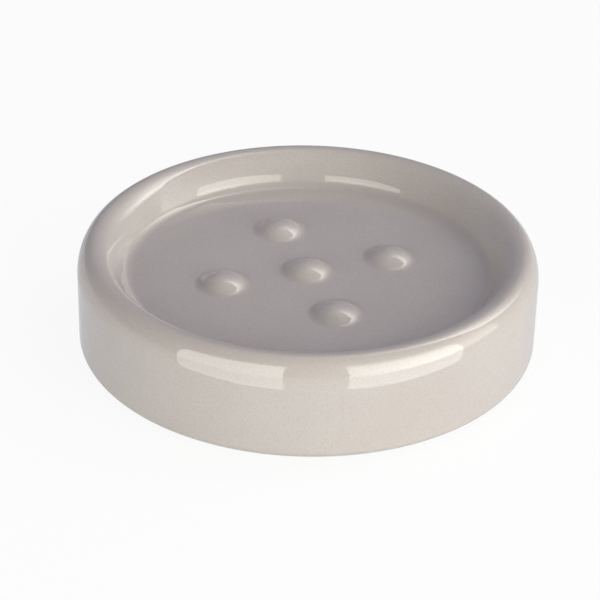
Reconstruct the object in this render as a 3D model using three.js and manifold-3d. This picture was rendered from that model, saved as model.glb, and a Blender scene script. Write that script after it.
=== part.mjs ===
// Round soap dish: one glazed ceramic body with five drainage bumps, standing on four stick-on pads.
// Millimetres, +Z up. The origin is on the surface that the dish stands on, under its centre.
import * as THREE from 'three';
import { mergeVertices } from 'three/addons/utils/BufferGeometryUtils.js';
import Module from 'manifold-3d';

// Ceramic body, overall
const DISH_DIAMETER = 110;
const BODY_HEIGHT = 25;

// Rim: a soft crown, steeper towards the outer wall and a true round towards the tray
const CROWN_OUTER_REACH = 4;
const CROWN_OUTER_DROP = 6.6;
const CROWN_INNER_RADIUS = 4.4;

// Tray: a flat floor, a hollow fillet and a leaning wall that bends slowly over into the crown
const TRAY_DEPTH = 7.8;
const TRAY_WALL_DEGREES = 62;
const CROWN_TURN_SHARE = 0.74;
const TRAY_FILLET_RADIUS = 3;

// Drainage bumps: one in the middle and the others on a circle, each a low mound with a wide flare
const BUMP_HEIGHT = 2.6;
const BUMP_CAP_RADIUS = 7.3;
const BUMP_FLARE_RADIUS = 3.9;
const BUMP_ROOT_DEPTH = 1;
const BUMP_CIRCLE_RADIUS = 21.1;
const BUMPS_ON_CIRCLE = 4;

// Underside: a wide recess with a drafted wall, which leaves a flat foot ring to stand on
const FLOOR_THICKNESS = 6;
const FOOT_RING_WIDTH = 10;
const FOOT_OUTER_ROUND = 2;
const FOOT_INNER_ROUND = 1;
const RECESS_DRAFT_DEGREES = 10;
const RECESS_FILLET_RADIUS = 3;

// Anti-slip pads: flat discs with a softened lower edge, stuck to the middle of the foot ring
const PAD_DIAMETER = 6;
const PAD_THICKNESS = 0.8;
const PAD_EDGE_ROUND = 0.25;

// Facets
const BODY_SEGMENTS = 80;
const BUMP_SEGMENTS = 28;
const PAD_SEGMENTS = 24;

const GLAZE = { color: 0xb9b0aa, roughness: 0.12, metalness: 0 };
const SILICONE = { color: 0xd9d8d2, roughness: 0.6, metalness: 0 };

const wasm = await Module();
wasm.setup();

const radians = THREE.MathUtils.degToRad;

// Points along an elliptical arc in the radius-height plane, both ends included
function arc(centre, reach, rise, fromDegrees, toDegrees, steps) {
  return Array.from({ length: steps + 1 }, (_, i) => {
    const angle = radians(fromDegrees + ((toDegrees - fromDegrees) * i) / steps);
    return new THREE.Vector2(centre.x + reach * Math.cos(angle), centre.y + rise * Math.sin(angle));
  });
}

// Revolve a profile about +Z. The profile runs anticlockwise from the axis to the axis.
function revolve(profile, segments) {
  const geometry = new THREE.LatheGeometry(profile, segments);
  return geometry.rotateX(Math.PI / 2);
}

function toSolid(geometry) {
  const bare = geometry.clone();
  bare.deleteAttribute('normal');
  bare.deleteAttribute('uv');
  const merged = mergeVertices(bare);
  const corners = merged.index.array;
  const triangles = [];
  for (let i = 0; i < corners.length; i += 3) {
    const [a, b, c] = corners.slice(i, i + 3);
    if (a !== b && b !== c && c !== a) triangles.push(a, b, c);
  }
  const mesh = new wasm.Mesh({
    numProp: 3,
    vertProperties: new Float32Array(merged.attributes.position.array),
    triVerts: new Uint32Array(triangles),
  });
  return new wasm.Manifold(mesh);
}

function toGeometry(solid) {
  const { vertProperties, triVerts } = solid.getMesh();
  const geometry = new THREE.BufferGeometry();
  geometry.setAttribute('position', new THREE.BufferAttribute(vertProperties, 3));
  geometry.setIndex(new THREE.BufferAttribute(triVerts, 1));
  geometry.computeVertexNormals();
  return geometry;
}

// Levels and radii that more than one piece shares
const outerRadius = DISH_DIAMETER / 2;
const footLevel = PAD_THICKNESS;
const crownLevel = footLevel + BODY_HEIGHT;
const trayLevel = crownLevel - TRAY_DEPTH;
const recessLevel = trayLevel - FLOOR_THICKNESS;
const recessMouthRadius = outerRadius - FOOT_RING_WIDTH;
const footFlatOuter = outerRadius - FOOT_OUTER_ROUND;

// The recess roof, its fillet, the drafted wall and the rounded inner edge of the foot
function recessProfile() {
  const lean = radians(RECESS_DRAFT_DEGREES);
  const edgeCentre = new THREE.Vector2(recessMouthRadius + FOOT_INNER_ROUND, footLevel + FOOT_INNER_ROUND);
  const edgeTop = edgeCentre.y + FOOT_INNER_ROUND * Math.sin(lean);
  const edgeTopRadius = edgeCentre.x - FOOT_INNER_ROUND * Math.cos(lean);
  const filletCentreLevel = recessLevel - RECESS_FILLET_RADIUS;
  const wallTop = filletCentreLevel + RECESS_FILLET_RADIUS * Math.sin(lean);
  const wallTopRadius = edgeTopRadius - (wallTop - edgeTop) * Math.tan(lean);
  const filletCentreRadius = wallTopRadius - RECESS_FILLET_RADIUS * Math.cos(lean);
  const filletCentre = new THREE.Vector2(filletCentreRadius, filletCentreLevel);
  const r = RECESS_FILLET_RADIUS;
  const e = FOOT_INNER_ROUND;
  return [
    new THREE.Vector2(0, recessLevel),
    ...arc(filletCentre, r, r, 90, RECESS_DRAFT_DEGREES, 4),
    ...arc(edgeCentre, e, e, 180 - RECESS_DRAFT_DEGREES, 270, 3),
  ];
}

// The outer wall from the foot up to the crown of the rim
function wallProfile() {
  const footCentre = new THREE.Vector2(footFlatOuter, footLevel + FOOT_OUTER_ROUND);
  const crownCentre = new THREE.Vector2(outerRadius - CROWN_OUTER_REACH, crownLevel - CROWN_OUTER_DROP);
  return [
    ...arc(footCentre, FOOT_OUTER_ROUND, FOOT_OUTER_ROUND, 270, 360, 4),
    ...arc(crownCentre, CROWN_OUTER_REACH, CROWN_OUTER_DROP, 0, 90, 8),
  ];
}

// From the crown over a long round wall, through the fillet, to the middle of the floor. The crown
// turns through a share of the wall's lean, and the wall's own round makes up the rest of the depth.
function trayProfile() {
  const turnDegrees = TRAY_WALL_DEGREES * CROWN_TURN_SHARE;
  const turn = radians(turnDegrees);
  const lean = radians(TRAY_WALL_DEGREES);
  const c = CROWN_INNER_RADIUS;
  const f = TRAY_FILLET_RADIUS;
  const wallDrop = TRAY_DEPTH - c * (1 - Math.cos(turn)) - f * (1 - Math.cos(lean));
  const w = wallDrop / (Math.cos(turn) - Math.cos(lean));
  const crownCentre = new THREE.Vector2(outerRadius - CROWN_OUTER_REACH, crownLevel - c);
  const wallCentreRadius = crownCentre.x + (w - c) * Math.sin(turn);
  const wallCentre = new THREE.Vector2(wallCentreRadius, crownCentre.y - (w - c) * Math.cos(turn));
  const filletCentreRadius = wallCentre.x - (w + f) * Math.sin(lean);
  const filletCentre = new THREE.Vector2(filletCentreRadius, trayLevel + f);
  return [
    ...arc(crownCentre, c, c, 90, 90 + turnDegrees, 6).slice(1),
    ...arc(wallCentre, w, w, 90 + turnDegrees, 90 + TRAY_WALL_DEGREES, 3).slice(1),
    ...arc(filletCentre, f, f, TRAY_WALL_DEGREES - 90, -90, 6).slice(1),
    new THREE.Vector2(0, trayLevel),
  ];
}

// A rounded cap that runs out into a wide flare, with a root sunk into the floor. The two rounds share
// the height, which sets the slope where they meet.
function bumpGeometry() {
  const c = BUMP_CAP_RADIUS;
  const f = BUMP_FLARE_RADIUS;
  const slope = Math.acos(1 - BUMP_HEIGHT / (c + f));
  const slopeDegrees = THREE.MathUtils.radToDeg(slope);
  const footRadius = (c + f) * Math.sin(slope);
  const capCentre = new THREE.Vector2(0, trayLevel + BUMP_HEIGHT - c);
  const flareCentre = new THREE.Vector2(footRadius, trayLevel + f);
  const rootLevel = trayLevel - BUMP_ROOT_DEPTH;
  const profile = [
    new THREE.Vector2(0, rootLevel),
    new THREE.Vector2(footRadius, rootLevel),
    ...arc(flareCentre, f, f, 270, 270 - slopeDegrees, 5),
    ...arc(capCentre, c, c, 90 - slopeDegrees, 90, 6).slice(1, -1),
    new THREE.Vector2(0, trayLevel + BUMP_HEIGHT),
  ];
  return revolve(profile, BUMP_SEGMENTS);
}

function dishGeometry() {
  const profile = [...recessProfile(), ...wallProfile(), ...trayProfile()];
  let dish = toSolid(revolve(profile, BODY_SEGMENTS));
  const bump = toSolid(bumpGeometry());
  dish = dish.add(bump);
  for (let i = 0; i < BUMPS_ON_CIRCLE; i += 1) {
    const angle = (2 * Math.PI * i) / BUMPS_ON_CIRCLE;
    const x = BUMP_CIRCLE_RADIUS * Math.cos(angle);
    const y = BUMP_CIRCLE_RADIUS * Math.sin(angle);
    dish = dish.add(bump.translate([x, y, 0]));
  }
  return toGeometry(dish);
}

// Each pad stands on z = 0 and ends at the foot ring, so their flat faces meet
function padGeometry() {
  const radius = PAD_DIAMETER / 2;
  const edgeCentre = new THREE.Vector2(radius - PAD_EDGE_ROUND, PAD_EDGE_ROUND);
  const profile = [
    new THREE.Vector2(0, 0),
    ...arc(edgeCentre, PAD_EDGE_ROUND, PAD_EDGE_ROUND, 270, 360, 3),
    new THREE.Vector2(radius, PAD_THICKNESS),
    new THREE.Vector2(0, PAD_THICKNESS),
  ];
  return revolve(profile, PAD_SEGMENTS);
}

function piece(name, geometry, finish) {
  const mesh = new THREE.Mesh(geometry, new THREE.MeshStandardMaterial(finish));
  mesh.name = name;
  return mesh;
}

const soapDish = new THREE.Group();
soapDish.name = 'soap_dish';
soapDish.add(piece('dish_body', dishGeometry(), GLAZE));

// The pads sit between the bumps, on the middle of the foot ring's flat
const padCircleRadius = (recessMouthRadius + FOOT_INNER_ROUND + footFlatOuter) / 2;
const padPlaces = { back_right: 45, back_left: 135, front_left: 225, front_right: 315 };
for (const [place, degrees] of Object.entries(padPlaces)) {
  const pad = piece(`anti_slip_pad_${place}`, padGeometry(), SILICONE);
  const angle = radians(degrees);
  pad.position.set(padCircleRadius * Math.cos(angle), padCircleRadius * Math.sin(angle), 0);
  soapDish.add(pad);
}

export default soapDish;
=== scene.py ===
# %% [markdown]
# # A round glazed soap dish
# This lesson dresses a ceramic soap dish: one glazed body with five drainage bumps, on four small
# silicone pads. The imported model comes first, because every size and place below has to agree with
# it. Its box is kept.

# %% Load the imported model
import math

import bpy
from mathutils import Matrix, Vector


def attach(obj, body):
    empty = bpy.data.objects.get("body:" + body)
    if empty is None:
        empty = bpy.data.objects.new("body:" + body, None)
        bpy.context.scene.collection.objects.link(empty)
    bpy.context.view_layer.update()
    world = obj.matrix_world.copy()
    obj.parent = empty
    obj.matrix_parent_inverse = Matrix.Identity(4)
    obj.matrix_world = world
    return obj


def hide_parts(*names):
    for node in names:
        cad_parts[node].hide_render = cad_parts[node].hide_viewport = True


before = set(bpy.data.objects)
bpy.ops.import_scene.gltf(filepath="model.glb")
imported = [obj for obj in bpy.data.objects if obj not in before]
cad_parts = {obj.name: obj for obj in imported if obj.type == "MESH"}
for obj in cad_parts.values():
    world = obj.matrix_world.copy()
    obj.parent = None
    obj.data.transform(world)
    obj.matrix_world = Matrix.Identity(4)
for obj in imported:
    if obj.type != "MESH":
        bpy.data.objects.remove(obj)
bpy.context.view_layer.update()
scene = bpy.context.scene
scene.view_settings.view_transform = "Standard"
print("Nodes:", ", ".join(sorted(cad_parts)))

# %% [markdown]
# ## The camera
# A product picture of a small dish is taken with a long lens from above, so the round rim shows as a
# slim ellipse with little perspective. The camera could be placed by eye, but here it is worked out:
# a direction, a distance and a point to look at give its place, and three axes give its turn. A
# slight roll tips the picture, as a camera on a tripod does.

# %% Place the camera
MM = 0.001
VIEW_AZIMUTH = math.radians(-19.19)
VIEW_ELEVATION = math.radians(30.387)
VIEW_DISTANCE = 547.8 * MM
VIEW_ROLL = math.radians(1.137)
AIM_POINT = Vector((-1.671, 0.582, 9.848)) * MM
LENS_MM = 136.13
SENSOR_MM = 36


def direction(azimuth, elevation):
    flat = math.cos(elevation)
    return Vector((math.sin(azimuth) * flat, -math.cos(azimuth) * flat, math.sin(elevation)))


to_camera = direction(VIEW_AZIMUTH, VIEW_ELEVATION)
level_right = Vector((math.cos(VIEW_AZIMUTH), math.sin(VIEW_AZIMUTH), 0))
level_up = to_camera.cross(level_right)
right = level_right * math.cos(VIEW_ROLL) + level_up * math.sin(VIEW_ROLL)
up = level_up * math.cos(VIEW_ROLL) - level_right * math.sin(VIEW_ROLL)

lens = bpy.data.cameras.new("product_lens")
lens.lens = LENS_MM
lens.sensor_width = SENSOR_MM
camera = bpy.data.objects.new("product_camera", lens)
scene.collection.objects.link(camera)
turn = Matrix((right, up, to_camera)).transposed().to_4x4()
camera.matrix_world = Matrix.Translation(AIM_POINT + to_camera * VIEW_DISTANCE) @ turn
scene.camera = camera
print("Camera at", [round(value, 4) for value in camera.matrix_world.translation])

# %% [markdown]
# ## The section of the dish
# A dish like this is pressed or cast in a round mould, so one half section tells its whole shape:
# tray floor, hollow corner, leaning wall, soft rim, upright side, foot ring and the recess below. The
# section could be drawn by hand as a curve. Here it is put together from arcs and straight runs, so
# each radius is a number with a name. It starts at the tray floor and ends under the dish, because
# that order makes the spun faces point outwards.

# %% Arcs and straight runs
EDGE_LOOP = 0.3


def arc(centre, reach, rise, start, end, steps):
    points = []
    for step in range(steps + 1):
        angle = math.radians(start + (end - start) * step / steps)
        points.append((centre[0] + reach * math.cos(angle), centre[1] + rise * math.sin(angle)))
    return points


def run(start, end):
    # Two edge loops near the ends keep a flat run flat under smooth shading
    share = EDGE_LOOP / math.dist(start, end)
    return [
        tuple(near + (far - near) * part for near, far in zip(start, end))
        for part in (share, 1 - share)
    ]


# %% Sizes of the section, in millimetres
OUTER_RADIUS = 55.0
FOOT_LEVEL = 0.8
CROWN_LEVEL = 25.8
CROWN_RADIUS = 51.0
CROWN_OUTER_DROP = 6.6
CROWN_INNER_RADIUS = 4.4
TRAY_LEVEL = 18.0
TRAY_WALL_DEGREES = 62.0
CROWN_TURN_SHARE = 0.74
TRAY_FILLET_RADIUS = 3.0
RECESS_LEVEL = 12.0
RECESS_MOUTH_RADIUS = 45.0
RECESS_DRAFT_DEGREES = 10.0
RECESS_FILLET_RADIUS = 3.0
FOOT_OUTER_ROUND = 2.0
FOOT_INNER_ROUND = 1.0

SHOULDER_DEGREES = TRAY_WALL_DEGREES * CROWN_TURN_SHARE
shoulder = math.radians(SHOULDER_DEGREES)
lean = math.radians(TRAY_WALL_DEGREES)
shoulder_drop = (
    CROWN_LEVEL - TRAY_LEVEL
    - CROWN_INNER_RADIUS * (1 - math.cos(shoulder))
    - TRAY_FILLET_RADIUS * (1 - math.cos(lean))
)
shoulder_radius = shoulder_drop / (math.cos(shoulder) - math.cos(lean))
shoulder_centre = (
    CROWN_RADIUS + (shoulder_radius - CROWN_INNER_RADIUS) * math.sin(shoulder),
    CROWN_LEVEL - CROWN_INNER_RADIUS - (shoulder_radius - CROWN_INNER_RADIUS) * math.cos(shoulder),
)
tray_radius = shoulder_centre[0] - (shoulder_radius + TRAY_FILLET_RADIUS) * math.sin(lean)
print("Long round of the tray wall, radius in mm:", round(shoulder_radius, 2))
print("Flat tray floor, radius in mm:", round(tray_radius, 2))

# %% Tray corner, rim and side
TRAY_FILLET_STEPS = 20
TRAY_WALL_STEPS = 14
CROWN_INNER_STEPS = 18
CROWN_OUTER_STEPS = 28
FOOT_OUTER_STEPS = 12

corner = arc(
    (tray_radius, TRAY_LEVEL + TRAY_FILLET_RADIUS),
    TRAY_FILLET_RADIUS, TRAY_FILLET_RADIUS, -90, TRAY_WALL_DEGREES - 90, TRAY_FILLET_STEPS,
)
tray_wall = arc(
    shoulder_centre, shoulder_radius, shoulder_radius,
    90 + TRAY_WALL_DEGREES, 90 + SHOULDER_DEGREES, TRAY_WALL_STEPS,
)
crown_inside = arc(
    (CROWN_RADIUS, CROWN_LEVEL - CROWN_INNER_RADIUS),
    CROWN_INNER_RADIUS, CROWN_INNER_RADIUS, 90 + SHOULDER_DEGREES, 90, CROWN_INNER_STEPS,
)
crown_outside = arc(
    (CROWN_RADIUS, CROWN_LEVEL - CROWN_OUTER_DROP),
    OUTER_RADIUS - CROWN_RADIUS, CROWN_OUTER_DROP, 90, 0, CROWN_OUTER_STEPS,
)
foot_outside = arc(
    (OUTER_RADIUS - FOOT_OUTER_ROUND, FOOT_LEVEL + FOOT_OUTER_ROUND),
    FOOT_OUTER_ROUND, FOOT_OUTER_ROUND, 0, -90, FOOT_OUTER_STEPS,
)
side_levels = [round(level, 2) for level in (foot_outside[0][1], crown_outside[-1][1])]
print("The side is upright between these levels in mm:", side_levels)

# %% Foot ring and recess
FOOT_INNER_STEPS = 8
RECESS_FILLET_STEPS = 12

draft = math.radians(RECESS_DRAFT_DEGREES)
foot_inside = arc(
    (RECESS_MOUTH_RADIUS + FOOT_INNER_ROUND, FOOT_LEVEL + FOOT_INNER_ROUND),
    FOOT_INNER_ROUND, FOOT_INNER_ROUND, 270, 180 - RECESS_DRAFT_DEGREES, FOOT_INNER_STEPS,
)
recess_top_level = RECESS_LEVEL - RECESS_FILLET_RADIUS * (1 - math.sin(draft))
recess_top_radius = foot_inside[-1][0] - (recess_top_level - foot_inside[-1][1]) * math.tan(draft)
recess_corner = arc(
    (recess_top_radius - RECESS_FILLET_RADIUS * math.cos(draft), RECESS_LEVEL - RECESS_FILLET_RADIUS),
    RECESS_FILLET_RADIUS, RECESS_FILLET_RADIUS, RECESS_DRAFT_DEGREES, 90, RECESS_FILLET_STEPS,
)
print("Flat roof of the recess, radius in mm:", round(recess_corner[-1][0], 2))

# %% [markdown]
# Glaze runs while it melts: it draws back from outward edges and gathers in hollows, and it is wiped
# off the foot so that the dish doesn't stick to the kiln shelf. Where it is thin, on the rounded rim
# and the foot edge, the colour is also darkened as painted shade. These facts travel with the section
# as two numbers on each point, so that the material can use them wherever the surface goes.

# %% Join the section and note where glaze gathers
FLOOR_RIM_WIDTH = 0.5


def noted(points, gather=0.0, bare=0.0):
    # The gather swells towards the middle of the stretch
    last = max(len(points) - 1, 1)
    return [
        (point, gather * math.sin(math.pi * place / last), bare)
        for place, point in enumerate(points)
    ]


dish_section = (
    noted([(tray_radius - FLOOR_RIM_WIDTH, TRAY_LEVEL)])
    + noted(corner, gather=1.0)
    + noted(tray_wall[1:-1])
    # Thin glaze on the rounded rim; this note also darkens the rim as painted shade
    + noted(crown_inside + crown_outside[1:], gather=-1.0)
    + noted(run(crown_outside[-1], foot_outside[0]))
    # Thin glaze on the foot edge, also darkened as painted shade
    + noted(foot_outside, gather=-1.0)
    + noted(run(foot_outside[-1], foot_inside[0]), bare=1.0)
    + noted(foot_inside, bare=1.0)
    + noted(run(foot_inside[-1], recess_corner[0]))
    + noted(recess_corner, gather=1.0)
    + noted([(recess_corner[-1][0] - FLOOR_RIM_WIDTH, RECESS_LEVEL), (0.0, RECESS_LEVEL)])
)
print("Points in the section:", len(dish_section))

# %% [markdown]
# ## The section of a drainage bump
# Soap lies on five low mounds, so that it drains and dries. Each has a rounded cap that runs out into a
# wide flare, as plaster moulds give and glaze softens. A displaced grid would give a soft bump too, but
# a section of two arcs that touch keeps the highlights clean and costs few faces. The height and the
# two radii set the slope where the arcs meet.

# %% Cap and flare of one bump
BUMP_HEIGHT = 2.6
BUMP_CAP_RADIUS = 7.3
BUMP_FLARE_RADIUS = 3.9
BUMP_ARC_STEPS = 20

bump_slope = math.acos(1 - BUMP_HEIGHT / (BUMP_CAP_RADIUS + BUMP_FLARE_RADIUS))
slope_degrees = math.degrees(bump_slope)
flare_radius = (BUMP_CAP_RADIUS + BUMP_FLARE_RADIUS) * math.sin(bump_slope)
bump_foot_radius = flare_radius + FLOOR_RIM_WIDTH
cap = arc(
    (0.0, TRAY_LEVEL + BUMP_HEIGHT - BUMP_CAP_RADIUS),
    BUMP_CAP_RADIUS, BUMP_CAP_RADIUS, 90, 90 - slope_degrees, BUMP_ARC_STEPS,
)
flare = arc(
    (flare_radius, TRAY_LEVEL + BUMP_FLARE_RADIUS),
    BUMP_FLARE_RADIUS, BUMP_FLARE_RADIUS, 270 - slope_degrees, 270, BUMP_ARC_STEPS,
)
bump_section = (
    noted(cap[:-1])
    + noted(flare, gather=1.0)
    + noted([(bump_foot_radius, TRAY_LEVEL)])
)
print("Steepest slope of a bump, in degrees:", round(slope_degrees, 1))
print("Foot of a bump, radius in mm:", round(flare_radius, 2))

# %% [markdown]
# ## Geometry Nodes that spin a section
# Both sections become solid in the same way: a grid has one row for each point of the section and one
# column for each turn, and every grid point moves to its place on the circle. The Screw modifier
# would do this too. A node group is used because it can be reused for the dish, the bumps and the
# pads, and it carries the two glaze notes along.

# %% Helpers for nodes
def node(tree, kind, feeds=None, **settings):
    made = tree.nodes.new(kind)
    for name, value in settings.items():
        setattr(made, name, value)
    for socket, feed in (feeds or {}).items():
        target = made.inputs[socket]
        if isinstance(feed, bpy.types.NodeSocket):
            tree.links.new(feed, target)
        else:
            target.default_value = feed
    return made


def maths(tree, operation, *values):
    return node(tree, "ShaderNodeMath", dict(enumerate(values)), operation=operation).outputs[0]


def sockets(tree, in_out, named):
    return {
        name: tree.interface.new_socket(name=name, in_out=in_out, socket_type=kind).identifier
        for name, kind in named.items()
    }


# %% The group that spins a section
GLAZE_NOTES = ("glaze_gather", "glaze_bare")

spin = bpy.data.node_groups.new("spin_section", "GeometryNodeTree")
sockets(spin, "INPUT", {"Section": "NodeSocketGeometry", "Segments": "NodeSocketInt"})
sockets(spin, "OUTPUT", {"Shell": "NodeSocketGeometry"})
given = node(spin, "NodeGroupInput").outputs
section = given["Section"]
count = node(spin, "GeometryNodeAttributeDomainSize", {"Geometry": section}).outputs["Point Count"]
columns = maths(spin, "ADD", given["Segments"], 1.0)
grid = node(spin, "GeometryNodeMeshGrid", {"Vertices X": count, "Vertices Y": columns}).outputs
grid_share = node(spin, "ShaderNodeSeparateXYZ", {0: grid["UV Map"]}).outputs
last_row = maths(spin, "SUBTRACT", count, 1.0)
row = maths(spin, "ROUND", maths(spin, "MULTIPLY", grid_share[0], last_row))
spin_angle = maths(spin, "MULTIPLY", grid_share[1], math.tau)

# %% Read the section and turn it
AXIS_WELD = 1e-6


def read_section(value, kind):
    feeds = {"Geometry": section, "Value": value, "Index": row}
    return node(spin, "GeometryNodeSampleIndex", feeds, data_type=kind).outputs[0]


section_point = read_section(node(spin, "GeometryNodeInputPosition").outputs[0], "FLOAT_VECTOR")
section_point = node(spin, "ShaderNodeSeparateXYZ", {0: section_point}).outputs
east = maths(spin, "MULTIPLY", section_point[0], maths(spin, "COSINE", spin_angle))
north = maths(spin, "MULTIPLY", section_point[0], maths(spin, "SINE", spin_angle))
turned = node(spin, "ShaderNodeCombineXYZ", {0: east, 1: north, 2: section_point[2]})
shell = grid["Mesh"]
for note in GLAZE_NOTES:
    value = node(spin, "GeometryNodeInputNamedAttribute", {"Name": note}, data_type="FLOAT")
    value = read_section(value.outputs[0], "FLOAT")
    shell = node(
        spin, "GeometryNodeStoreNamedAttribute",
        {"Geometry": shell, "Name": note, "Value": value}, data_type="FLOAT",
    ).outputs[0]
shell = node(spin, "GeometryNodeSetPosition", {"Geometry": shell, "Position": turned.outputs[0]})
closed = node(
    spin, "GeometryNodeMergeByDistance",
    {"Geometry": shell.outputs[0], "Distance": AXIS_WELD},
)
node(spin, "NodeGroupOutput", {"Shell": closed.outputs[0]})
print("Nodes in the spinning group:", len(spin.nodes))

# %% [markdown]
# ## The glaze
# The real glaze is a warm grey that breaks to tan where it is thin and is deeper where it gathers.
# Where it is thin, on the rounded rim and the foot edge, its colour is also darkened as painted shade.
# It is glossy, with a faint ripple, fine specks and soft clouds of colour from the clay below. One flat
# colour would look like plastic. So the colour is mixed from the glaze notes, a broad noise and a fine
# noise, and a very small bump breaks up the mirror.

# %% Colours of the glaze
def srgb(red, green, blue):
    def linear(value):
        value = value / 255
        return value / 12.92 if value <= 0.04045 else ((value + 0.055) / 1.055) ** 2.4
    return (linear(red), linear(green), linear(blue), 1.0)


GLAZE_COLOUR = srgb(184, 178, 173)
GLAZE_CLOUD = srgb(181, 174, 169)
# Thin glaze at outward edges, made darker than the glaze as painted shade on the rim and foot edge
GLAZE_THIN_AND_PAINTED_SHADE = srgb(177, 169, 162)
GLAZE_DEEP = srgb(171, 163, 158)
GLAZE_SPECK = srgb(168, 161, 155)
BISQUE_COLOUR = srgb(206, 192, 176)
BISQUE_GRAIN = srgb(186, 170, 152)
print("Share of light that the glaze gives back:", [round(value, 3) for value in GLAZE_COLOUR[:3]])

# %% Helpers for materials
def empty_tree(owner):
    owner.use_nodes = True
    owner.node_tree.nodes.clear()
    return owner.node_tree


def blend(tree, share, first, second):
    feeds = {0: share, 6: first, 7: second}
    return node(tree, "ShaderNodeMix", feeds, data_type="RGBA").outputs[2]


def ramp(tree, value, low, high, to_low=0.0, to_high=1.0):
    feeds = {0: value, 1: low, 2: high, 3: to_low, 4: to_high}
    return node(tree, "ShaderNodeMapRange", feeds, clamp=True).outputs[0]


def noise(tree, spot, scale, detail):
    feeds = {"Vector": spot, "Scale": scale, "Detail": detail}
    return node(tree, "ShaderNodeTexNoise", feeds).outputs[0]


# %% Glaze colour from its notes and noises
CLOUD_ENDS = (0.35, 0.65)
SPECK_ENDS = (0.45, 0.75)
THIN_AND_SHADE_SHARE = 0.5
DEEP_SHARE = 0.6
SPECK_SHARE = 0.65

glaze = bpy.data.materials.new("warm_grey_glaze")
tree = empty_tree(glaze)
spot = node(tree, "ShaderNodeTexCoord").outputs["Object"]
clouds = noise(tree, spot, scale=55.0, detail=4.0)
specks = noise(tree, spot, scale=2600.0, detail=1.0)
gather, bare = (
    node(tree, "ShaderNodeAttribute", attribute_name=note).outputs["Fac"] for note in GLAZE_NOTES
)
colour = blend(tree, ramp(tree, clouds, *CLOUD_ENDS), GLAZE_COLOUR, GLAZE_CLOUD)
# Thin glaze on outward edges, partly real glaze break and partly painted shade on the rim
colour = blend(tree, ramp(tree, gather, 0.0, -1.0, 0.0, THIN_AND_SHADE_SHARE), colour, GLAZE_THIN_AND_PAINTED_SHADE)
colour = blend(tree, ramp(tree, gather, 0.0, 1.0, 0.0, DEEP_SHARE), colour, GLAZE_DEEP)
colour = blend(tree, ramp(tree, specks, *SPECK_ENDS, 0.0, SPECK_SHARE), colour, GLAZE_SPECK)
print("Nodes in the colour of the glaze:", len(tree.nodes))

# %% Bare clay on the foot, gloss and ripple
CLAY_ENDS = (0.4, 0.65)
BARE_ENDS = (0.3, 0.7)
GLOSS_ENDS = (0.3, 0.7)
GLOSS_ROUGHNESS = (0.02, 0.035)
CLAY_ROUGHNESS = 0.85
GLAZE_IOR = 1.65
RIPPLE_STRENGTH = 0.02
RIPPLE_HEIGHT = 0.4 * MM
CLAY_STRENGTH = 0.4
CLAY_HEIGHT = 0.2 * MM

grain = noise(tree, spot, scale=900.0, detail=6.0)
clay = blend(tree, ramp(tree, grain, *CLAY_ENDS), BISQUE_COLOUR, BISQUE_GRAIN)
bare_share = ramp(tree, bare, *BARE_ENDS)
gloss = ramp(tree, clouds, *GLOSS_ENDS, *GLOSS_ROUGHNESS)
gloss_or_clay = node(
    tree, "ShaderNodeMix", {0: bare_share, 2: gloss, 3: CLAY_ROUGHNESS}, data_type="FLOAT",
)
ripple = noise(tree, spot, scale=260.0, detail=1.0)
ripple_bump = node(
    tree, "ShaderNodeBump",
    {"Height": ripple, "Strength": RIPPLE_STRENGTH, "Distance": RIPPLE_HEIGHT},
)
grain_bump = node(
    tree, "ShaderNodeBump",
    {"Height": maths(tree, "MULTIPLY", grain, bare_share), "Strength": CLAY_STRENGTH,
     "Distance": CLAY_HEIGHT, "Normal": ripple_bump.outputs[0]},
)
surface = node(
    tree, "ShaderNodeBsdfPrincipled",
    {"Base Color": blend(tree, bare_share, colour, clay), "Roughness": gloss_or_clay.outputs[0],
     "Normal": grain_bump.outputs[0], "IOR": GLAZE_IOR},
)
node(tree, "ShaderNodeOutputMaterial", {"Surface": surface.outputs[0]})
print("Nodes in the glaze:", len(tree.nodes))

# %% [markdown]
# ## The dish
# The dish is a main piece that follows a rule, so it is one Geometry Nodes tree. The spun section
# leaves the flat tray floor open. A filled circle with five round holes closes it, and a bump stands
# on each hole with the same number of corners, so the seams weld without a boolean.

# %% Draw the sections as points
def section_mesh(name, *sections):
    points = [point for part in sections for point in part]
    mesh = bpy.data.meshes.new(name)
    mesh.from_pydata([(r * MM, 0.0, z * MM) for (r, z), *_ in points], [], [])
    for order, note in enumerate(GLAZE_NOTES, start=1):
        values = mesh.attributes.new(note, "FLOAT", "POINT").data
        for place, point in enumerate(points):
            values[place].value = point[order]
    part_of = mesh.attributes.new("part_of", "INT", "POINT").data
    parts = [number for number, part in enumerate(sections) for _ in part]
    for place, number in enumerate(parts):
        part_of[place].value = number
    return mesh


# %% Pick a section, spin it and join shapes
def pick(tree, geometry, number):
    part = node(tree, "GeometryNodeInputNamedAttribute", {"Name": "part_of"}, data_type="INT")
    same = node(
        tree, "FunctionNodeCompare", {2: part.outputs[0], 3: number},
        data_type="INT", operation="EQUAL",
    )
    feeds = {"Geometry": geometry, "Selection": same.outputs[0]}
    return node(tree, "GeometryNodeSeparateGeometry", feeds).outputs["Selection"]


def spun(tree, geometry, segments):
    feeds = {"Section": geometry, "Segments": segments}
    return node(tree, "GeometryNodeGroup", feeds, node_tree=spin).outputs[0]


def joined(tree, *shapes):
    join = node(tree, "GeometryNodeJoinGeometry")
    for shape in shapes:
        tree.links.new(shape, join.inputs[0])
    return join.outputs[0]


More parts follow.
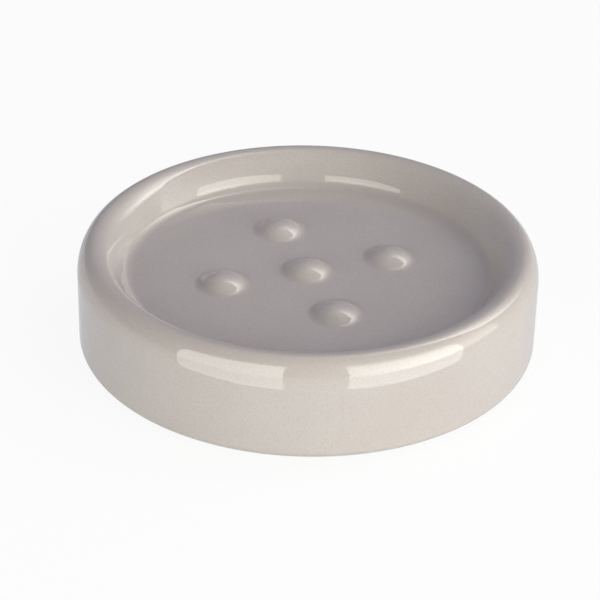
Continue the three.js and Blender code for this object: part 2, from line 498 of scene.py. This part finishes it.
# %% The tree of the dish
form = bpy.data.node_groups.new("form_dish", "GeometryNodeTree")
dish_inputs = sockets(form, "INPUT", {
    "Sections": "NodeSocketGeometry",
    "Dish Segments": "NodeSocketInt",
    "Bump Segments": "NodeSocketInt",
    "Bumps On Circle": "NodeSocketInt",
    "Bump Circle Radius": "NodeSocketFloat",
    "Bump Foot Radius": "NodeSocketFloat",
    "Floor Radius": "NodeSocketFloat",
    "Floor Level": "NodeSocketFloat",
    "Glaze": "NodeSocketMaterial",
})
sockets(form, "OUTPUT", {"Dish": "NodeSocketGeometry"})
given = node(form, "NodeGroupInput").outputs
body = spun(form, pick(form, given["Sections"], 0), given["Dish Segments"])
bump = spun(form, pick(form, given["Sections"], 1), given["Bump Segments"])
print("Inputs of the dish:", ", ".join(dish_inputs))

# %% Bumps and the holes under them
circle = node(
    form, "GeometryNodeMeshCircle",
    {"Vertices": given["Bumps On Circle"], "Radius": given["Bump Circle Radius"]},
)
middle = node(form, "GeometryNodePoints", {"Count": 1})
spots = joined(form, circle.outputs[0], middle.outputs[0])
bumps = node(form, "GeometryNodeInstanceOnPoints", {"Points": spots, "Instance": bump})
hole = node(
    form, "GeometryNodeCurvePrimitiveCircle",
    {"Resolution": given["Bump Segments"], "Radius": given["Bump Foot Radius"]},
)
holes = node(form, "GeometryNodeInstanceOnPoints", {"Points": spots, "Instance": hole.outputs[0]})
holes = node(form, "GeometryNodeRealizeInstances", {0: holes.outputs[0]})
floor_edge = node(
    form, "GeometryNodeCurvePrimitiveCircle",
    {"Resolution": given["Dish Segments"], "Radius": given["Floor Radius"]},
)
outline = joined(form, holes.outputs[0], floor_edge.outputs[0])
floor = node(form, "GeometryNodeFillCurve", {"Curve": outline})
lift = node(form, "ShaderNodeCombineXYZ", {2: given["Floor Level"]})
floor = node(
    form, "GeometryNodeTransform",
    {"Geometry": floor.outputs[0], "Translation": lift.outputs[0]},
)

# %% Weld, smooth and glaze
SEAM_WELD = 1e-5

whole = joined(form, body, floor.outputs[0], bumps.outputs[0])
real = node(form, "GeometryNodeRealizeInstances", {0: whole})
welded = node(
    form, "GeometryNodeMergeByDistance",
    {"Geometry": real.outputs[0], "Distance": SEAM_WELD},
)
smooth = node(form, "GeometryNodeSetShadeSmooth", {"Geometry": welded.outputs[0]})
glazed = node(
    form, "GeometryNodeSetMaterial",
    {"Geometry": smooth.outputs[0], "Material": given["Glaze"]},
)
node(form, "NodeGroupOutput", {"Dish": glazed.outputs[0]})
print("Nodes in the tree of the dish:", len(form.nodes))

# %% Grow a plain mesh from a tree
def grow(name, mesh, tree, values):
    piece = bpy.data.objects.new(name, mesh)
    scene.collection.objects.link(piece)
    nodes = piece.modifiers.new("form", "NODES")
    nodes.node_group = tree
    for identifier, value in values.items():
        nodes[identifier] = value
    depsgraph = bpy.context.evaluated_depsgraph_get()
    evaluated = piece.evaluated_get(depsgraph)
    made = bpy.data.meshes.new_from_object(
        evaluated, preserve_all_data_layers=True, depsgraph=depsgraph,
    )
    piece.modifiers.clear()
    piece.data = made
    made.name = name
    bpy.data.meshes.remove(mesh)
    print(name, "has", len(made.vertices), "points and", len(made.polygons), "faces")
    return piece


# %% Make the dish
DISH_SEGMENTS = 288
BUMP_SEGMENTS = 64
BUMPS_ON_CIRCLE = 4
BUMP_CIRCLE_RADIUS = 21.1

dish = grow("ceramic_dish", section_mesh("dish_sections", dish_section, bump_section), form, {
    dish_inputs["Dish Segments"]: DISH_SEGMENTS,
    dish_inputs["Bump Segments"]: BUMP_SEGMENTS,
    dish_inputs["Bumps On Circle"]: BUMPS_ON_CIRCLE,
    dish_inputs["Bump Circle Radius"]: BUMP_CIRCLE_RADIUS * MM,
    dish_inputs["Bump Foot Radius"]: bump_foot_radius * MM,
    dish_inputs["Floor Radius"]: (tray_radius - FLOOR_RIM_WIDTH) * MM,
    dish_inputs["Floor Level"]: TRAY_LEVEL * MM,
    dish_inputs["Glaze"]: glaze,
})
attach(dish, "root")
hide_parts("dish_body")

# %% [markdown]
# ## The pads
# Four silicone pads keep the dish from sliding and from scratching the shelf. They are cut discs
# with a softened lower edge. One disc is spun from its section and put at four places on the foot
# ring by instances, which are made real because the export drops instances.

# %% Silicone
PAD_COLOUR = srgb(217, 216, 210)
PAD_HAZE = srgb(204, 203, 197)
HAZE_ENDS = (0.3, 0.7)
PAD_ROUGHNESS = (0.5, 0.68)
SATIN_STRENGTH = 0.3
SATIN_HEIGHT = 0.05 * MM
SILICONE_IOR = 1.41

silicone = bpy.data.materials.new("milky_silicone")
tree = empty_tree(silicone)
spot = node(tree, "ShaderNodeTexCoord").outputs["Object"]
haze = noise(tree, spot, scale=400.0, detail=3.0)
dust = noise(tree, spot, scale=3000.0, detail=2.0)
satin = node(
    tree, "ShaderNodeBump",
    {"Height": dust, "Strength": SATIN_STRENGTH, "Distance": SATIN_HEIGHT},
)
surface = node(
    tree, "ShaderNodeBsdfPrincipled",
    {"Base Color": blend(tree, haze, PAD_COLOUR, PAD_HAZE),
     "Roughness": ramp(tree, haze, *HAZE_ENDS, *PAD_ROUGHNESS),
     "Normal": satin.outputs[0], "IOR": SILICONE_IOR},
)
node(tree, "ShaderNodeOutputMaterial", {"Surface": surface.outputs[0]})
print("Nodes in the silicone:", len(tree.nodes))

# %% Section of a pad
PAD_RADIUS = 3.0
PAD_EDGE_ROUND = 0.25
PAD_EDGE_STEPS = 8
PAD_TOP_EDGE = 0.05
PAD_FLAT_MARGIN = 0.6

pad_edge = arc(
    (PAD_RADIUS - PAD_EDGE_ROUND, PAD_EDGE_ROUND),
    PAD_EDGE_ROUND, PAD_EDGE_ROUND, 0, -90, PAD_EDGE_STEPS,
)
pad_section = noted([
    (0.0, FOOT_LEVEL),
    (PAD_RADIUS - PAD_TOP_EDGE, FOOT_LEVEL),
    (PAD_RADIUS, FOOT_LEVEL - PAD_TOP_EDGE),
    *pad_edge,
    (PAD_RADIUS - PAD_FLAT_MARGIN, 0.0),
    (0.0, 0.0),
])
print("Points in the section of a pad:", len(pad_section))

# %% The tree of the pads
stick = bpy.data.node_groups.new("stick_pads", "GeometryNodeTree")
pad_inputs = sockets(stick, "INPUT", {
    "Section": "NodeSocketGeometry",
    "Segments": "NodeSocketInt",
    "Pads": "NodeSocketInt",
    "Circle Radius": "NodeSocketFloat",
    "Start Angle": "NodeSocketFloat",
    "Silicone": "NodeSocketMaterial",
})
sockets(stick, "OUTPUT", {"Pads": "NodeSocketGeometry"})
given = node(stick, "NodeGroupInput").outputs
pad = spun(stick, given["Section"], given["Segments"])
ring = node(
    stick, "GeometryNodeMeshCircle",
    {"Vertices": given["Pads"], "Radius": given["Circle Radius"]},
)
start = node(stick, "ShaderNodeCombineXYZ", {2: given["Start Angle"]})
ring = node(
    stick, "GeometryNodeTransform",
    {"Geometry": ring.outputs[0], "Rotation": start.outputs[0]},
)
set_out = node(stick, "GeometryNodeInstanceOnPoints", {"Points": ring.outputs[0], "Instance": pad})
real = node(stick, "GeometryNodeRealizeInstances", {0: set_out.outputs[0]})
smooth = node(stick, "GeometryNodeSetShadeSmooth", {"Geometry": real.outputs[0]})
finished = node(
    stick, "GeometryNodeSetMaterial",
    {"Geometry": smooth.outputs[0], "Material": given["Silicone"]},
)
node(stick, "NodeGroupOutput", {"Pads": finished.outputs[0]})
print("Nodes in the tree of the pads:", len(stick.nodes))

# %% Make the pads
PAD_SEGMENTS = 48
PAD_COUNT = 4
PAD_CIRCLE_RADIUS = 49.5
PAD_START_DEGREES = 45.0

pads = grow("anti_slip_pads", section_mesh("pad_section", pad_section), stick, {
    pad_inputs["Segments"]: PAD_SEGMENTS,
    pad_inputs["Pads"]: PAD_COUNT,
    pad_inputs["Circle Radius"]: PAD_CIRCLE_RADIUS * MM,
    pad_inputs["Start Angle"]: math.radians(PAD_START_DEGREES),
    pad_inputs["Silicone"]: silicone,
})
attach(pads, "root")
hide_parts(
    "anti_slip_pad_back_right", "anti_slip_pad_back_left",
    "anti_slip_pad_front_left", "anti_slip_pad_front_right",
)

# %% [markdown]
# ## The studio
# The dish was lit by two tall softboxes in front, the right one brighter. Their mirror images are
# the pale patches on the rim and in the tray. Area lamps make such softboxes, dimmer at the top and
# at the bottom. They reach below the table top, as tall ones on stands do, so the table is left out
# of the mirror images and the world stands in for it there. The world is also the room: a dim
# ceiling, a cool wall behind the dish with a glow at the upper right, and more light from the right.
# The edge of that glow draws the bright crescents on the bumps and on the left of the rim.

# %% A panel of a softbox
BOX_DISTANCE = 0.8
UPRIGHT = Vector((0, 0, 1))


def panel(name, facing, ends, low, high, radiance, tint):
    # An upright panel; facing is its turn from the camera's direction, in degrees
    azimuth = VIEW_AZIMUTH + math.radians(facing)
    outward = direction(azimuth, 0)
    sideways = Vector((math.cos(azimuth), math.sin(azimuth), 0))
    lamp = bpy.data.lights.new(name, "AREA")
    lamp.shape = "RECTANGLE"
    lamp.size = ends[1] - ends[0]
    lamp.size_y = high - low
    lamp.energy = radiance * math.pi * lamp.size * lamp.size_y
    lamp.color = tint
    box = bpy.data.objects.new(name, lamp)
    scene.collection.objects.link(box)
    centre = outward * BOX_DISTANCE + sideways * sum(ends) / 2 + UPRIGHT * (low + high) / 2
    turn = Matrix((sideways, UPRIGHT, outward)).transposed().to_4x4()
    box.matrix_world = Matrix.Translation(centre) @ turn
    print(name, "at", [round(value, 2) for value in centre], "power", round(lamp.energy, 1))


# %% Softboxes
UPPER_LIGHT = (1.0, 0.99, 0.92)
LOWER_LIGHT = (0.99, 1.0, 0.98)
BOX_FOOT = -0.443


def softbox(name, facing, ends, top, step, radiances):
    levels = (top, step, 0.0, BOX_FOOT)
    tints = (UPPER_LIGHT, UPPER_LIGHT, LOWER_LIGHT)
    for order, part in enumerate(("top", "middle", "lower")):
        high, low = levels[order:order + 2]
        panel(f"{name}_{part}", facing, ends, low, high, radiances[order], tints[order])


softbox("front_left", -15, ends=(-0.80, 0.07), top=0.627, step=0.52, radiances=(2.3, 3.1, 1.8))
softbox("front_right", 30, ends=(-0.156, 0.80), top=0.639, step=0.47, radiances=(2.4, 3.5, 2.1))

# %% [markdown]
# Every place in the room is a direction seen from the dish. It is told by three measures: its height,
# its depth away from the camera and how far it lies across to the right. Each light of the room fades
# between two such measures, which are named below in pairs.

# %% Directions in the room
world = bpy.data.worlds.new("studio_room")
scene.world = world
tree = empty_tree(world)
way = node(tree, "ShaderNodeTexCoord").outputs["Generated"]
away = -direction(VIEW_AZIMUTH, 0)


def along(axis):
    feeds = {0: way, 1: axis}
    return node(tree, "ShaderNodeVectorMath", feeds, operation="DOT_PRODUCT").outputs["Value"]


def product(first, *others):
    for other in others:
        first = maths(tree, "MULTIPLY", first, other)
    return first


height = node(tree, "ShaderNodeSeparateXYZ", {0: way}).outputs[2]
depth = along(away)
across = along(level_right)
print("Away from the camera:", [round(value, 3) for value in away])

# %% Edges in the room
CEILING_EDGE = 0.28
RIGHT_EDGE = 0.17
EDGE_BEND = (0.35, 0.6)
EDGE_BLUR = (-0.015, 0.015)
SILL_SLOPE = 0.7
SILL = 0.7
SILL_BLUR = (-0.03, 0.04)
RIGHT_ENDS = (0.35, 0.8)

edge = ramp(tree, across, *EDGE_BEND, CEILING_EDGE, RIGHT_EDGE)
past_edge = maths(tree, "SUBTRACT", depth, edge)
past_sill = maths(tree, "SUBTRACT", along(away * SILL_SLOPE + UPRIGHT), SILL)
over_sill = ramp(tree, past_sill, *SILL_BLUR)
on_wall = ramp(tree, past_edge, *EDGE_BLUR)
to_right = ramp(tree, across, *RIGHT_ENDS)
print("The ceiling ends at a depth of", CEILING_EDGE, "and on the right at", RIGHT_EDGE)

# %% Ceiling and right side
ROOM_DARK = (0.19, 0.19, 0.21, 1.0)
ROOM_SIDE = (2.4, 2.36, 2.3, 1.0)
SIDE_HEIGHT = (0.75, 0.15)
CEILING_GLOW = (0.75, 0.72, 0.69, 1.0)
CEILING_NEAR = (-0.08, 0.15)
CEILING_FAR = (0.25, 0.18)
CEILING_LEFT = (-0.5, 0.0)
CEILING_RIGHT = (0.7, 0.4)
CEILING_HEIGHT = (0.5, 0.7)

ceiling_glow = product(
    ramp(tree, depth, *CEILING_NEAR),
    ramp(tree, depth, *CEILING_FAR),
    ramp(tree, across, *CEILING_LEFT),
    ramp(tree, across, *CEILING_RIGHT),
    ramp(tree, height, *CEILING_HEIGHT),
)
side = blend(tree, product(to_right, ramp(tree, height, *SIDE_HEIGHT)), ROOM_DARK, ROOM_SIDE)
ceiling = blend(tree, ceiling_glow, side, CEILING_GLOW)
print("Nodes in the world, up to the ceiling:", len(tree.nodes))

# %% Wall and its glow
WALL = (0.27, 0.27, 0.39, 1.0)
WALL_SIDE = (0.65, 0.63, 0.60, 1.0)
WALL_GLOW = (3.4, 3.4, 3.4, 1.0)
WALL_GLOW_ACROSS = (-0.3, 0.5)
WALL_GLOW_DEPTH = (0.78, 0.33)
WALL_GLOW_FADE = 2.0
EDGE_GLOW = (6.5, 6.5, 6.5, 1.0)
EDGE_GLOW_WIDTH = (0.075, 0.02)
EDGE_GLOW_ACROSS = (-0.1, 0.4)
EDGE_GLOW_DEPTH = (0.66, 0.3)

wall_glow = product(
    maths(tree, "POWER", ramp(tree, across, *WALL_GLOW_ACROSS), WALL_GLOW_FADE),
    maths(tree, "POWER", ramp(tree, depth, *WALL_GLOW_DEPTH), WALL_GLOW_FADE),
    over_sill,
)
edge_glow = product(
    ramp(tree, maths(tree, "MINIMUM", past_edge, past_sill), *EDGE_GLOW_WIDTH),
    ramp(tree, across, *EDGE_GLOW_ACROSS),
    over_sill,
    ramp(tree, depth, *EDGE_GLOW_DEPTH),
)
wall = blend(tree, wall_glow, blend(tree, to_right, WALL, WALL_SIDE), WALL_GLOW)
wall = blend(tree, edge_glow, wall, EDGE_GLOW)
print("Nodes in the world, up to the wall:", len(tree.nodes))

# %% The world, which is white for the camera
WHITE = (1.0, 1.0, 1.0, 1.0)
TABLE_GREY = (0.68, 0.69, 0.73, 1.0)
TABLE_BLUR = (-0.02, 0.02)

room = blend(tree, on_wall, ceiling, wall)
room = blend(tree, ramp(tree, height, *TABLE_BLUR), TABLE_GREY, room)
path = node(tree, "ShaderNodeLightPath")
seen = blend(tree, path.outputs["Is Camera Ray"], room, WHITE)
background = node(tree, "ShaderNodeBackground", {"Color": seen, "Strength": 1.0})
node(tree, "ShaderNodeOutputWorld", {"Surface": background.outputs[0]})
print("Nodes in the whole world:", len(tree.nodes))

# %% White paper that keeps the shadow
PAPER_COLOUR = (0.9, 0.9, 0.9, 1.0)
TABLE_SELF_WHITE = 0.9
TABLE_SELF_LIGHT = 0.3

paper = bpy.data.materials.new("white_paper")
tree = empty_tree(paper)
path = node(tree, "ShaderNodeLightPath")
lit = node(tree, "ShaderNodeBsdfDiffuse", {"Color": PAPER_COLOUR})
glow = node(tree, "ShaderNodeEmission", {"Color": WHITE, "Strength": 1.0})
share = ramp(tree, path.outputs["Is Camera Ray"], 0.0, 1.0, TABLE_SELF_LIGHT, TABLE_SELF_WHITE)
top = node(tree, "ShaderNodeMixShader", {0: share, 1: lit.outputs[0], 2: glow.outputs[0]})
clear = node(tree, "ShaderNodeBsdfTransparent")
under = node(tree, "ShaderNodeNewGeometry").outputs["Backfacing"]
sheet = node(tree, "ShaderNodeMixShader", {0: under, 1: top.outputs[0], 2: clear.outputs[0]})
node(tree, "ShaderNodeOutputMaterial", {"Surface": sheet.outputs[0]})
print("Nodes in the paper:", len(tree.nodes))

# %% Table top
TABLE_SIZE = 4.0

half = TABLE_SIZE / 2
table_mesh = bpy.data.meshes.new("table_top")
table_mesh.from_pydata(
    [(-half, -half, 0), (half, -half, 0), (half, half, 0), (-half, half, 0)], [], [(0, 1, 2, 3)],
)
table_mesh.materials.append(paper)
table = bpy.data.objects.new("table_top", table_mesh)
scene.collection.objects.link(table)
table.visible_glossy = False
print("Table top, in metres across:", TABLE_SIZE)
